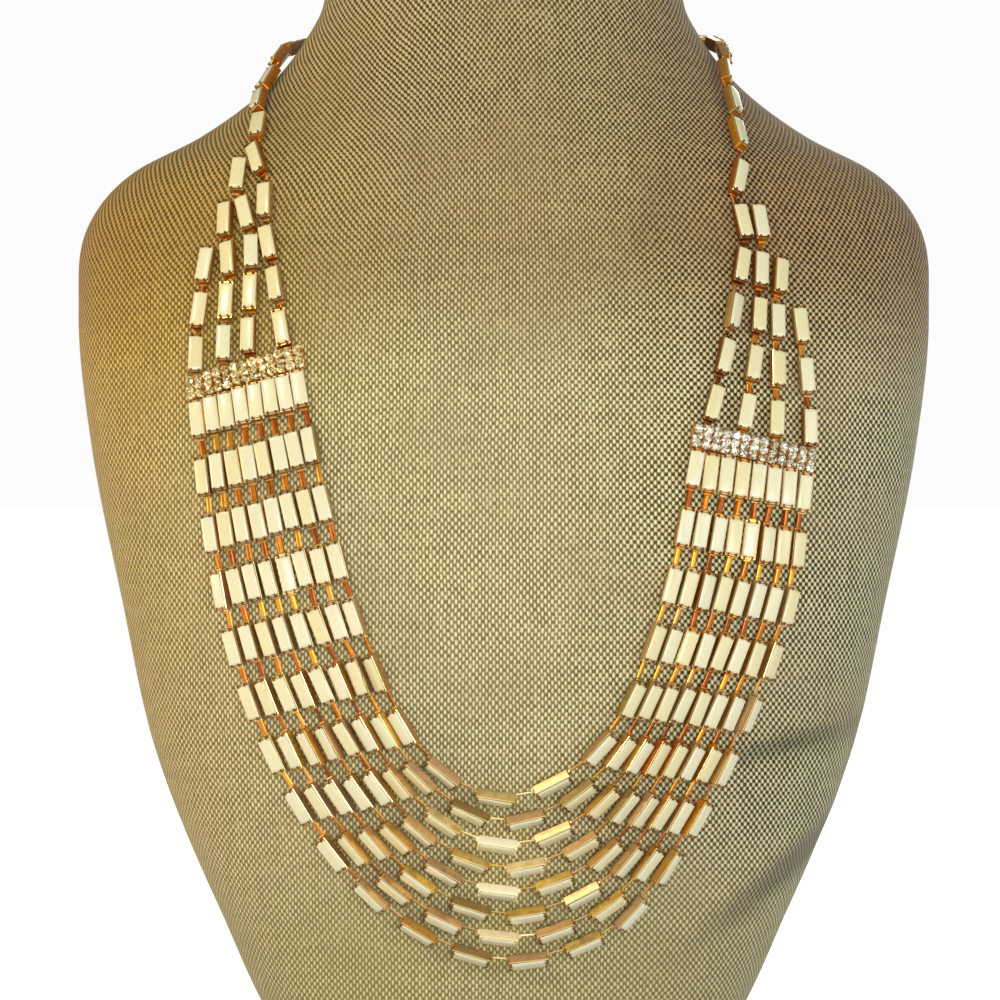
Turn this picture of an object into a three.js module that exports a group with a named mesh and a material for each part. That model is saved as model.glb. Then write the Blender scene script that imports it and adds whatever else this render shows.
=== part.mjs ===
// A bib necklace of baguette links on a linen-covered neck bust.
// Millimetres, +Z up. The front of the bust faces -Y. The origin lies in its flat base, on the line
// that its sections are laid round.
import * as THREE from 'three';

// One link: a folded metal box with a cream bar set in it.
const link = { length: 10.8, width: 3.8, depth: 3.3 };
// The flat strip that joins two links lies in the plane of their backs.
const strip = { width: 1.6, thickness: 0.6, inset: 0.15 };
// Two pieces that meet stay this far apart.
const gap = 0.5;
// The lowest edge of a link stays this far off the cloth.
const clearance = 0.9;

// Each strand of the bib has one link more than the one inside it.
const bib = { strands: 8, innerLinks: 16, middleHeight: 193 };
const bar = { height: 6.6, depth: 3.3, overhang: 0.5, segments: 6 };
const joinTab = 0.8;          // where a shorter chain reaches for the one beside it
const clasp = { length: 13, width: 4.6, depth: 4.2, sides: 12 };
const claspRows = [
  { along: -1, size: 0.45 }, { along: -0.86, size: 0.8 }, { along: -0.6, size: 1 }, { along: -0.04, size: 1 },
  { along: 0, size: 0.9 }, { along: 0.04, size: 1 }, { along: 0.6, size: 1 }, { along: 0.86, size: 0.8 },
  { along: 1, size: 0.45 },
];

// Sections of the bust: height, half width, depth in front and behind the axis, and the power of
// the superellipse, where 2 is an ellipse.
const bustRows = [
  { z: 0, half: 60, front: 51, back: 30, power: 2.2 },
  { z: 2, half: 62, front: 53, back: 32, power: 2.2 },
  { z: 45, half: 84, front: 67, back: 36, power: 2.3 },
  { z: 90, half: 102, front: 77, back: 41, power: 2.4 },
  { z: 135, half: 112, front: 81, back: 47, power: 2.5 },
  { z: 180, half: 121, front: 78, back: 53, power: 2.5 },
  { z: 220, half: 125, front: 67, back: 56, power: 2.4 },
  { z: 245, half: 122, front: 58, back: 57, power: 2.3 },
  { z: 260, half: 109, front: 55, back: 56, power: 2.2 },
  { z: 270, half: 90, front: 53, back: 55, power: 2.1 },
  { z: 285, half: 70, front: 50, back: 52, power: 2 },
  { z: 305, half: 55, front: 47, back: 48, power: 2 },
  { z: 323, half: 48, front: 44, back: 45, power: 2 },
  { z: 325, half: 45, front: 41, back: 42, power: 2 },
];
const bustSides = 48;
const tallestBand = 15;        // a taller band between two rows is split in two

// Where the innermost and outermost strands lie, seen from the front: middle of the first link,
// down round the bottom, and up to the middle of the last.
const innerRoute = [
  { x: -56, z: 194 }, { x: -49, z: 162 }, { x: -40, z: 130 }, { x: -27, z: 101 }, { x: -15, z: 88 },
  { x: 0, z: 82 }, { x: 15, z: 87 }, { x: 27, z: 97 }, { x: 36, z: 112 }, { x: 46, z: 142 }, { x: 52, z: 172 },
];
const outerRoute = [
  { x: -84, z: 186 }, { x: -80, z: 154 }, { x: -73, z: 120 }, { x: -62, z: 91 }, { x: -45, z: 64 },
  { x: -24, z: 45 }, { x: 0, z: 36 }, { x: 22, z: 41 }, { x: 35, z: 50 }, { x: 52, z: 75 }, { x: 67, z: 105 },
  { x: 78, z: 136 }, { x: 82, z: 166 },
];

// How far the face of a link turns away from the front, outwards from the middle of the bib, in
// degrees along the strands: first for most of them, then for the outermost.
const turnRows = [
  { along: 0, inner: 2, outer: 6, last: 8 },
  { along: 0.1, inner: 6, outer: 12, last: 16 },
  { along: 0.22, inner: 14, outer: 20, last: 24 },
  { along: 0.33, inner: 28, outer: 32, last: 34 },
  { along: 0.45, inner: 44, outer: 42, last: 44 },
  { along: 0.58, inner: 46, outer: 44, last: 46 },
  { along: 0.68, inner: 32, outer: 38, last: 50 },
  { along: 0.8, inner: 16, outer: 22, last: 46 },
  { along: 0.92, inner: 8, outer: 14, last: 40 },
  { along: 1, inner: 2, outer: 6, last: 12 },
];

// The neck chains, from the middle of the link above the bar. angle goes round the bust from the
// front, plus towards +X, and face is the way that the links there look. Chain 1 is the innermost
// and runs on round the neck to the nape. The others end where they hook to the one inside them.
const chainRoutes = {
  left: [
    {
      links: 15,
      rows: [
        { angle: -25, z: 211, face: -4 }, { angle: -27, z: 228, face: -8 }, { angle: -30, z: 245, face: -12 },
        { angle: -34, z: 256, face: -16 }, { angle: -48, z: 269, face: -20 }, { angle: -67, z: 281, face: -30 },
        { angle: -84, z: 292, face: -80 }, { angle: -112, z: 299, face: -118 },
        { angle: -144, z: 302, face: -148 }, { angle: -180, z: 302, face: -180 },
      ],
    },
    {
      links: 5,
      rows: [
        { angle: -30, z: 209, face: -6 }, { angle: -31, z: 237, face: -8 }, { angle: -38, z: 255, face: -18 },
      ],
    },
    {
      links: 4,
      rows: [
        { angle: -34, z: 207, face: -4 }, { angle: -34, z: 229, face: -8 }, { angle: -36, z: 242, face: -14 },
      ],
    },
    { links: 3, rows: [{ angle: -39, z: 204, face: -4 }, { angle: -38, z: 229, face: -10 }] },
  ],
  right: [
    {
      links: 16,
      rows: [
        { angle: 23, z: 190, face: 24 }, { angle: 26, z: 214, face: 22 }, { angle: 29, z: 238, face: 20 },
        { angle: 30, z: 250, face: 28 }, { angle: 38, z: 263, face: 36 }, { angle: 52, z: 276, face: 46 },
        { angle: 66, z: 287, face: 58 }, { angle: 90, z: 296, face: 90 }, { angle: 116, z: 300, face: 120 },
        { angle: 146, z: 302, face: 148 }, { angle: 180, z: 302, face: 180 },
      ],
    },
    {
      links: 5,
      rows: [
        { angle: 28, z: 188, face: 8 }, { angle: 30, z: 214, face: 12 }, { angle: 31, z: 229, face: 14 },
        { angle: 32, z: 241, face: 18 },
      ],
    },
    {
      links: 4,
      rows: [
        { angle: 33, z: 186, face: 10 }, { angle: 33, z: 213, face: 14 }, { angle: 34, z: 226, face: 18 },
      ],
    },
    { links: 3, rows: [{ angle: 39, z: 184, face: 14 }, { angle: 37, z: 212, face: 18 }] },
  ],
};
const napeRoute = [{ angle: 168, z: 302 }, { angle: 180, z: 302 }, { angle: 192, z: 302 }];

const finish = {
  linen: new THREE.MeshStandardMaterial({ color: '#a89a66', roughness: 0.95, metalness: 0 }),
  cream: new THREE.MeshStandardMaterial({ color: '#efe8bf', roughness: 0.3, metalness: 0 }),
  gold: new THREE.MeshStandardMaterial({ color: '#c98f4a', roughness: 0.25, metalness: 1 }),
  stones: new THREE.MeshStandardMaterial({ color: '#d9d2bd', roughness: 0.15, metalness: 0.6 }),
};

const upwards = new THREE.Vector3(0, 0, 1);
const toRadians = (degrees) => THREE.MathUtils.degToRad(degrees);
const signedPower = (value, power) => Math.sign(value) * Math.abs(value) ** power;

// A smooth curve through a table: the value of one column at a place between two rows.
function readColumn(rows, column, by, place) {
  let i = rows.findIndex((row, n) => n > 0 && place <= row[by]) - 1;
  if (i < 0) i = place <= rows[0][by] ? 0 : rows.length - 2;
  const slope = (a, b) => (rows[b][column] - rows[a][column]) / (rows[b][by] - rows[a][by]);
  const here = slope(i, i + 1);
  const step = rows[i + 1][by] - rows[i][by];
  const before = i > 0 ? (slope(i - 1, i) + here) / 2 : here;
  const after = i < rows.length - 2 ? (slope(i + 1, i + 2) + here) / 2 : here;
  const t = THREE.MathUtils.clamp((place - rows[i][by]) / step, 0, 1);
  const drop = t * t * (3 - 2 * t);
  return rows[i][column] + step * (drop * here + t * (1 - t) * ((1 - t) * before - t * after));
}

function bustSection(z) {
  const read = (column) => readColumn(bustRows, column, 'z', z);
  return { half: read('half'), front: read('front'), back: read('back'), power: read('power') };
}

// A point of the cloth at an angle round the bust, in radians.
function bustPoint(angle, z) {
  const { half, front, back, power } = bustSection(z);
  const depth = Math.cos(angle) > 0 ? front : back;
  return new THREE.Vector3(
    half * signedPower(Math.sin(angle), 2 / power),
    -depth * signedPower(Math.cos(angle), 2 / power),
    z,
  );
}

// The angle at which the front of the bust is x from the middle.
function frontAngle(x, z) {
  const { half, power } = bustSection(z);
  return Math.sign(x) * Math.asin(Math.min(1, Math.abs(x) / half) ** (power / 2));
}

function bustNormal(angle, z) {
  const small = 0.02;
  const round = bustPoint(angle + small, z).sub(bustPoint(angle - small, z));
  const up = bustPoint(angle, z + 1).sub(bustPoint(angle, z - 1));
  return round.cross(up).normalize();
}

// A solid from rings of points that all have the same count, closed with a fan at each end.
function solidFromRings(rings) {
  const sides = rings[0].length;
  const points = rings.flat();
  const triangles = [];
  for (let r = 0; r < rings.length - 1; r += 1) {
    for (let s = 0; s < sides; s += 1) {
      const a = r * sides + s;
      const b = r * sides + (s + 1) % sides;
      triangles.push(a, b, b + sides, a, b + sides, a + sides);
    }
  }
  const last = (rings.length - 1) * sides;
  for (let s = 1; s < sides - 1; s += 1) {
    triangles.push(0, s + 1, s, last, last + s, last + s + 1);
  }
  const geometry = new THREE.BufferGeometry().setFromPoints(points);
  geometry.setIndex(triangles);
  geometry.computeVertexNormals();
  return geometry;
}

function neckBust() {
  const heights = [];
  bustRows.forEach((row, i) => {
    if (i > 0 && row.z - bustRows[i - 1].z > tallestBand) heights.push((row.z + bustRows[i - 1].z) / 2);
    heights.push(row.z);
  });
  const rings = heights.map((z) => Array.from(
    { length: bustSides },
    (_, s) => bustPoint((2 * Math.PI * s) / bustSides, z),
  ));
  return solidFromRings(rings);
}

// A route over the cloth, as the angle round the bust and the height at a distance from its start.
function layRoute(rows, column, toAngle) {
  const plan = new THREE.SplineCurve(rows.map((row) => new THREE.Vector2(row[column], row.z)));
  const steps = 240;
  const stations = plan.getPoints(steps).map(({ x, y }) => ({ angle: toAngle(x, y), z: y }));
  const runs = [0];
  stations.forEach((station, i) => {
    if (i === 0) return;
    const here = bustPoint(station.angle, station.z);
    const before = bustPoint(stations[i - 1].angle, stations[i - 1].z);
    runs.push(runs[i - 1] + here.distanceTo(before));
  });
  const length = runs[steps];
  const at = (distance) => {
    let i = runs.findIndex((run) => run >= distance);
    if (i < 1) i = distance > 0 ? steps : 1;
    const t = (distance - runs[i - 1]) / (runs[i] - runs[i - 1]);
    const { lerp } = THREE.MathUtils;
    return {
      angle: lerp(stations[i - 1].angle, stations[i].angle, t),
      z: lerp(stations[i - 1].z, stations[i].z, t),
      share: (i - 1 + t) / steps,
    };
  };
  return { length, at };
}

const pointOn = (route, distance) => {
  const { angle, z } = route.at(distance);
  return bustPoint(angle, z);
};

// A box that lies on the cloth at a place on a route. face is the way it looks, as an angle round
// the bust, and turn then tips it outwards, away from the middle of the bib.
function boxFrame(route, distance, size, face, turn, outwards) {
  const along = pointOn(route, distance + size.length / 2)
    .sub(pointOn(route, distance - size.length / 2)).normalize();
  const looks = new THREE.Vector3(Math.sin(toRadians(face)), -Math.cos(toRadians(face)), 0);
  looks.addScaledVector(along, -looks.dot(along)).normalize();
  const side = new THREE.Vector3().crossVectors(looks, along);
  const tip = toRadians(turn) * (side.dot(outwards) > 0 ? 1 : -1);
  const normal = looks.multiplyScalar(Math.cos(tip)).addScaledVector(side, Math.sin(tip));
  const across = new THREE.Vector3().crossVectors(normal, along);
  const { angle, z } = route.at(distance);
  const off = bustNormal(angle, z);
  const lift = clearance + (Math.abs(across.dot(off)) * size.width + Math.abs(normal.dot(off)) * size.depth
    + Math.abs(along.dot(off)) * size.length) / 2;
  const centre = bustPoint(angle, z).addScaledVector(off, lift);
  return { centre, along, across, normal, size };
}

// A point in a box's own directions, from its middle.
function inFrame(frame, along, across, up) {
  return frame.centre.clone()
    .addScaledVector(frame.along, along)
    .addScaledVector(frame.across, across)
    .addScaledVector(frame.normal, up);
}

function boxRing(frame, along) {
  const { width, depth } = frame.size;
  return [[-1, -1], [1, -1], [1, 1], [-1, 1]]
    .map(([a, u]) => inFrame(frame, along, (a * width) / 2, (u * depth) / 2));
}

// The strip's end on a box: its lower side is just above the back of the box.
function stripRing(frame, along) {
  const low = -frame.size.depth / 2 + strip.inset;
  const high = low + strip.thickness;
  const half = strip.width / 2;
  return [[-half, low], [half, low], [half, high], [-half, high]]
    .map(([across, up]) => inFrame(frame, along, across, up));
}

// A strand: boxes in a row, joined by strips, with a tab of strip at its far end if it has one.
function strandSolid(frames, endTab = 0) {
  const half = link.length / 2;
  const rings = frames.flatMap((frame, i) => {
    const own = [boxRing(frame, -half), boxRing(frame, half)];
    if (i > 0) own.unshift(stripRing(frame, -half));
    if (i < frames.length - 1 || endTab > 0) own.push(stripRing(frame, half));
    return own;
  });
  if (endTab > 0) rings.push(stripRing(frames.at(-1), half + endTab));
  return solidFromRings(rings);
}

const necklace = new THREE.Group();

function place(name, geometry, material) {
  const mesh = new THREE.Mesh(geometry, material);
  mesh.name = name;
  necklace.add(mesh);
}

// Strand number n lies between the inner and the outer route, at the same share of their length.
function strandRoute(n, inner, outer) {
  const share = (n - 1) / (bib.strands - 1);
  const samples = 24;
  const rows = Array.from({ length: samples + 1 }, (_, i) => pointOn(inner, (inner.length * i) / samples)
    .lerp(pointOn(outer, (outer.length * i) / samples), share));
  return layRoute(rows, 'x', frontAngle);
}

function bibTurn(n, along) {
  const read = (column) => readColumn(turnRows, column, 'along', along);
  if (n === bib.strands) return read('last');
  return THREE.MathUtils.lerp(read('inner'), read('outer'), (n - 1) / (bib.strands - 2));
}

function bibStrand(n, route) {
  const count = bib.innerLinks + n - 1;
  const bibMiddle = new THREE.Vector3(0, 0, bib.middleHeight);
  return Array.from({ length: count }, (_, i) => {
    const along = i / (count - 1);
    const outwards = pointOn(route, route.length * along).sub(bibMiddle).setY(0);
    return boxFrame(route, route.length * along, link, 0, bibTurn(n, along), outwards);
  });
}

const inner = layRoute(innerRoute, 'x', frontAngle);
const outer = layRoute(outerRoute, 'x', frontAngle);
const bibFrames = Array.from(
  { length: bib.strands },
  (_, i) => bibStrand(i + 1, strandRoute(i + 1, inner, outer)),
);
bibFrames.forEach((frames, i) => {
  place(`bib_strand_${i + 1}`, strandSolid(frames), finish.cream);
});

// The stone-set bar across the ends of all the strands: a slightly bowed box.
function stoneBar(ends, side) {
  const reach = link.length / 2 + gap + bar.height / 2;
  const sign = side === 'left' ? -1 : 1;
  const middles = ends.map((frame) => inFrame(frame, sign * reach, 0, 0));
  const bow = new THREE.QuadraticBezierCurve3(
    middles[0],
    middles[3].clone().add(middles[4]).sub(middles[0].clone().add(middles[7]).multiplyScalar(0.5)),
    middles[7],
  );
  const rise = ends[3].along.clone().multiplyScalar(sign);
  const past = link.width / 2 + bar.overhang;
  const rings = Array.from({ length: bar.segments + 1 }, (_, i) => {
    const t = i / bar.segments;
    const run = bow.getTangent(t);
    const up = rise.clone().addScaledVector(run, -rise.dot(run)).normalize();
    const out = new THREE.Vector3().crossVectors(run, up).multiplyScalar(sign);
    const centre = bow.getPoint(t);
    if (i === 0) centre.addScaledVector(run, -past);
    if (i === bar.segments) centre.addScaledVector(run, past);
    return [[-1, -1], [1, -1], [1, 1], [-1, 1]].map(([u, o]) => centre.clone()
      .addScaledVector(up, (sign * u * bar.height) / 2).addScaledVector(out, (o * bar.depth) / 2));
  });
  return solidFromRings(rings);
}

place('rhinestone_bar_left', stoneBar(bibFrames.map((frames) => frames[0]), 'left'), finish.stones);
place('rhinestone_bar_right', stoneBar(bibFrames.map((frames) => frames.at(-1)), 'right'), finish.stones);

// The chains that carry the bib. Their links are spaced evenly along the whole of each route, but
// for the half of the clasp that chain 1 leaves free.
const halfClasp = clasp.length / 2 + gap + link.length / 2;
for (const [side, chains] of Object.entries(chainRoutes)) {
  chains.forEach(({ links, rows }, i) => {
    const route = layRoute(rows, 'angle', toRadians);
    const pitch = (route.length - (i === 0 ? halfClasp : 0)) / (links - 1);
    const faces = rows.map(({ face }, n) => ({ face, share: n / (rows.length - 1) }));
    const frames = Array.from({ length: links }, (_, n) => {
      const face = readColumn(faces, 'face', 'share', route.at(pitch * n).share);
      return boxFrame(route, pitch * n, link, face, 0, upwards);
    });
    place(`neck_chain_${side}_${i + 1}`, strandSolid(frames, i === 0 ? 0 : joinTab), finish.cream);
  });
}

// A barrel clasp at the nape.
function claspSolid() {
  const route = layRoute(napeRoute, 'angle', toRadians);
  const nape = boxFrame(route, route.length / 2, clasp, 180, 0, upwards);
  return solidFromRings(claspRows.map(({ along, size }) => Array.from({ length: clasp.sides }, (_, s) => {
    const turn = (2 * Math.PI * s) / clasp.sides;
    return inFrame(nape, (along * clasp.length) / 2, (size * clasp.width * Math.cos(turn)) / 2,
      (size * clasp.depth * Math.sin(turn)) / 2);
  })));
}

place('clasp', claspSolid(), finish.gold);
place('neck_bust', neckBust(), finish.linen);

export default necklace;
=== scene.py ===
# A bib necklace of baguette links on a linen neck bust. Metres, +Z up, the front faces -Y.
import math
import random
import bmesh
import bpy
import numpy as np
from mathutils import Matrix, Vector


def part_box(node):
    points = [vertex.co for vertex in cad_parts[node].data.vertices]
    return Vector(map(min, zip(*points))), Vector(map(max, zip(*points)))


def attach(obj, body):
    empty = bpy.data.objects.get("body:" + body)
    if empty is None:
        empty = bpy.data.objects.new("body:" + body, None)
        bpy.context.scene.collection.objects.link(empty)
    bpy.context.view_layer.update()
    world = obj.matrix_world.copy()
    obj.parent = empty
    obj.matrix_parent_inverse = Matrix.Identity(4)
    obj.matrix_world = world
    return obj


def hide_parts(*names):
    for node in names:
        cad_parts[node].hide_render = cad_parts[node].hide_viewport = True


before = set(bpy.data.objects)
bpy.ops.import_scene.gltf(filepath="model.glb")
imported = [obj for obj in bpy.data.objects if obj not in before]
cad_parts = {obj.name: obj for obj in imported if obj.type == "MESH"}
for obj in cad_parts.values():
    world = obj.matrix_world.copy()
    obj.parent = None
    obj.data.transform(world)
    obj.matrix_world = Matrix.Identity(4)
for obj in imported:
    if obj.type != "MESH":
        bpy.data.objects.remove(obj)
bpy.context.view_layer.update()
scene = bpy.context.scene
mm = 0.001


# Nodes

# A socket that takes part in plain arithmetic. Each sign adds one Math node.
class Term:
    def __init__(self, shop, socket):
        self.shop = shop
        self.socket = socket

    def math(self, operation, *others):
        return self.shop.node("ShaderNodeMath", {"operation": operation}, dict(enumerate((self, *others)))).out()

    def __add__(self, other):
        return self.math("ADD", other)

    def __sub__(self, other):
        return self.math("SUBTRACT", other)

    def __rsub__(self, other):
        return self.shop.node("ShaderNodeMath", {"operation": "SUBTRACT"}, {0: other, 1: self}).out()

    def __mul__(self, other):
        return self.math("MULTIPLY", other)

    def __truediv__(self, other):
        return self.math("DIVIDE", other)

    __radd__ = __add__
    __rmul__ = __mul__

    def cosine(self):
        return self.math("COSINE")

    def rounded(self):
        return self.math("ROUND")

    # 0 below the low value, 1 above the high one, and a smooth rise between them
    def rise(self, low, high):
        ranges = {"Value": self, "From Min": low, "From Max": high}
        return self.shop.node("ShaderNodeMapRange", {"interpolation_type": "SMOOTHSTEP"}, ranges).out()

    # the same between two values in either order
    def between(self, start, end):
        return self.rise(start, end) if start < end else 1 - self.rise(end, start)


class Made:
    def __init__(self, shop, node):
        self.shop = shop
        self.node = node

    def out(self, name=0):
        sockets = [socket for socket in self.node.outputs if socket.enabled]
        if isinstance(name, str):
            sockets = [socket for socket in sockets if socket.name == name]
            name = 0
        return Term(self.shop, sockets[name])


# Adds nodes to one tree.
class NodeShop:
    def __init__(self, tree):
        self.tree = tree
        self.columns = 0

    # settings go first, as they decide which sockets there are
    def node(self, kind, settings=None, values=None):
        node = self.tree.nodes.new(kind)
        node.location = (220 * (self.columns % 24), -260 * (self.columns // 24))
        self.columns += 1
        for name, value in (settings or {}).items():
            if name == "stops":
                self.setStops(node, value)
            else:
                setattr(node, name, value)
        for name, value in (values or {}).items():
            self.fill(node, name, value)
        return Made(self, node)

    def fill(self, node, name, value):
        sockets = [socket for socket in node.inputs if socket.enabled]
        if isinstance(name, str):
            socket = next(socket for socket in sockets if socket.name == name)
        else:
            socket = sockets[name]
        for part in value if isinstance(value, list) else [value]:
            if isinstance(part, Made):
                part = part.out()
            if isinstance(part, Term):
                self.tree.links.new(part.socket, socket)
            else:
                socket.default_value = part

    def setStops(self, node, stops):
        ramp = node.color_ramp
        while len(ramp.elements) < len(stops):
            ramp.elements.new(0.5)
        for element, (place, colour) in zip(ramp.elements, stops):
            element.position = place
            element.color = (*colour, 1)

    def mixColour(self, factor, first, second, blend="MIX"):
        def full(colour):
            return (*colour, 1) if isinstance(colour, tuple) else colour
        return self.node("ShaderNodeMix", {"data_type": "RGBA", "blend_type": blend},
                         {"Factor": factor, "A": full(first), "B": full(second)}).out()

    def vector(self, x, y, z=0.0):
        return self.node("ShaderNodeCombineXYZ", None, {"X": x, "Y": y, "Z": z}).out()

    def noise(self, vector, scale, detail=2.0, rough=0.5):
        return self.node("ShaderNodeTexNoise", None,
                         {"Vector": vector, "Scale": scale, "Detail": detail, "Roughness": rough}).out()

    def bump(self, height, strength, distance):
        return self.node("ShaderNodeBump", None,
                         {"Height": height, "Strength": strength, "Distance": distance}).out()


# A material with its Principled shader, whose fixed values are set on its own sockets.
def newMaterial(name, colour, **fixed):
    material = bpy.data.materials.new(name)
    material.use_nodes = True
    material.diffuse_color = (*colour, 1)
    shop = NodeShop(material.node_tree)
    shader = material.node_tree.nodes["Principled BSDF"]
    shop.fill(shader, "Base Color", (*colour, 1))
    for label, value in fixed.items():
        shop.fill(shader, label.replace("_", " "), value)
    return material, shop, shader


# The camera and the light

camera = {"place": (-1.1 * mm, -1160 * mm, 163.8 * mm), "lens": 141.4, "sensor": 36}
lights = {
    "frontLight": {"place": (0.12, -1.05, 0.1), "size": 0.4, "power": 5.5, "colour": (1, 0.95, 0.86)},
    "leftLamp": {"place": (-0.95, -0.15, 0.15), "size": 0.5, "power": 4, "colour": (1, 0.7, 0.35)},
    "rightLamp": {"place": (0.8, -0.8, 0.3), "size": 0.5, "power": 2, "colour": (0.85, 0.9, 1)},
    "backLight": {"place": (0.35, 1.2, 0.6), "size": 0.6, "power": 6, "colour": (1, 0.97, 0.9)},
    "topLamp": {"place": (-0.45, -0.75, 0.7), "size": 0.14, "power": 2, "colour": (1, 0.9, 0.7)},
}
room = {"seen": 0.97, "ambient": 0.28, "tint": (1, 0.97, 0.9), "floor": (0.86, 0.85, 0.83), "floorGlow": 0.78,
        "floorReach": 80, "floorDrop": 0.2, "target": (0, 0, 0.16)}


def makeCamera():
    data = bpy.data.cameras.new("camera")
    data.lens = camera["lens"]
    data.sensor_width = camera["sensor"]
    data.clip_start = 0.05
    body = bpy.data.objects.new("camera", data)
    body.location = camera["place"]
    body.rotation_euler = (math.pi / 2, 0, 0)
    scene.collection.objects.link(body)
    scene.camera = body


def makeLights():
    for name, facts in lights.items():
        data = bpy.data.lights.new(name, "AREA")
        data.size = facts["size"]
        data.energy = facts["power"]
        data.color = facts["colour"]
        lamp = bpy.data.objects.new(name, data)
        lamp.location = facts["place"]
        lamp.rotation_euler = (Vector(room["target"]) - lamp.location).to_track_quat("-Z", "Y").to_euler()
        lamp.visible_camera = False
        scene.collection.objects.link(lamp)
    world = bpy.data.worlds.new("paleRoom")
    world.use_nodes = True
    world.node_tree.nodes.clear()
    shop = NodeShop(world.node_tree)
    seen = shop.node("ShaderNodeBackground", None, {"Color": (1, 1, 1, 1), "Strength": room["seen"]})
    felt = shop.node("ShaderNodeBackground", None, {"Color": (*room["tint"], 1), "Strength": room["ambient"]})
    direct = shop.node("ShaderNodeLightPath").out("Is Camera Ray")
    both = shop.node("ShaderNodeMixShader", None, {0: direct, 1: felt, 2: seen})
    shop.node("ShaderNodeOutputWorld", None, {"Surface": both})
    scene.world = world
    scene.view_settings.view_transform = "Standard"


def makeFloor():
    mesh = bpy.data.meshes.new("floor")
    reach = room["floorReach"]
    mesh.from_pydata([(-reach, -reach, 0), (reach, -reach, 0), (reach, reach, 0), (-reach, reach, 0)],
                     [], [(0, 1, 2, 3)])
    paleFloor = newMaterial("paleFloor", room["floor"], Roughness=0.7,
                            Emission_Color=(1, 1, 1, 1), Emission_Strength=room["floorGlow"])[0]
    mesh.materials.append(paleFloor)
    floor = bpy.data.objects.new("floor", mesh)
    floor.location.z = -room["floorDrop"] * mm
    floor.visible_diffuse = False
    scene.collection.objects.link(floor)


makeCamera()
makeLights()
makeFloor()
print("camera, light and floor")


# Meshes

def addObject(name, mesh):
    thing = bpy.data.objects.new(name, mesh)
    scene.collection.objects.link(thing)
    return thing


# Rings of points that all have the same count, closed with a face at each end. The patina is one value
# or one for each ring: above zero is darker, as painted shade in the seams round the bars and at the strip
# ends, and darker towards the bottoms of the links and the tips of the prongs; below zero is a painted
# highlight of pale gold along the rims.
def addRings(builder, rings, patina=0.0):
    shade = builder.verts.layers.float.get("patina") or builder.verts.layers.float.new("patina")
    shades = patina if isinstance(patina, list) else [patina] * len(rings)
    rows = []
    for ring, value in zip(rings, shades):
        row = [builder.verts.new(point) for point in ring]
        for vert in row:
            vert[shade] = value
        rows.append(row)
    sides = len(rows[0])
    for low, high in zip(rows, rows[1:]):
        for s in range(sides):
            t = (s + 1) % sides
            builder.faces.new((low[s], low[t], high[t], high[s]))
    builder.faces.new(list(reversed(rows[0])))
    builder.faces.new(rows[-1])


def finishMesh(builder, name, sharpFrom=30):
    bmesh.ops.recalc_face_normals(builder, faces=builder.faces)
    mesh = bpy.data.meshes.new(name)
    builder.to_mesh(mesh)
    builder.free()
    mesh.shade_smooth()
    mesh.set_sharp_from_angle(angle=math.radians(sharpFrom))
    return mesh


# A rectangle with cut corners, as eight points.
def cutRectangle(halfLength, halfWidth, cut, height):
    a, b = halfLength - cut, halfWidth - cut
    corners = [(halfLength, -b), (halfLength, b), (a, halfWidth), (-a, halfWidth),
               (-halfLength, b), (-halfLength, -b), (-a, -halfWidth), (a, -halfWidth)]
    return [Vector((x, y, height)) * mm for x, y in corners]


# A tube along Y with its middle at a point.
def roundBar(middle, radius, halfLength, sides):
    rings = []
    for y, size in ((-halfLength, 0.75), (-halfLength * 0.85, 1), (halfLength * 0.85, 1), (halfLength, 0.75)):
        turns = [2 * math.pi * s / sides for s in range(sides)]
        rings.append([Vector((middle[0] + radius * size * math.cos(t), middle[1] + y,
                              middle[2] + radius * size * math.sin(t))) * mm for t in turns])
    return rings


# Geometry Nodes: a pattern set out on points, each turned to lie along its strand

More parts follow.
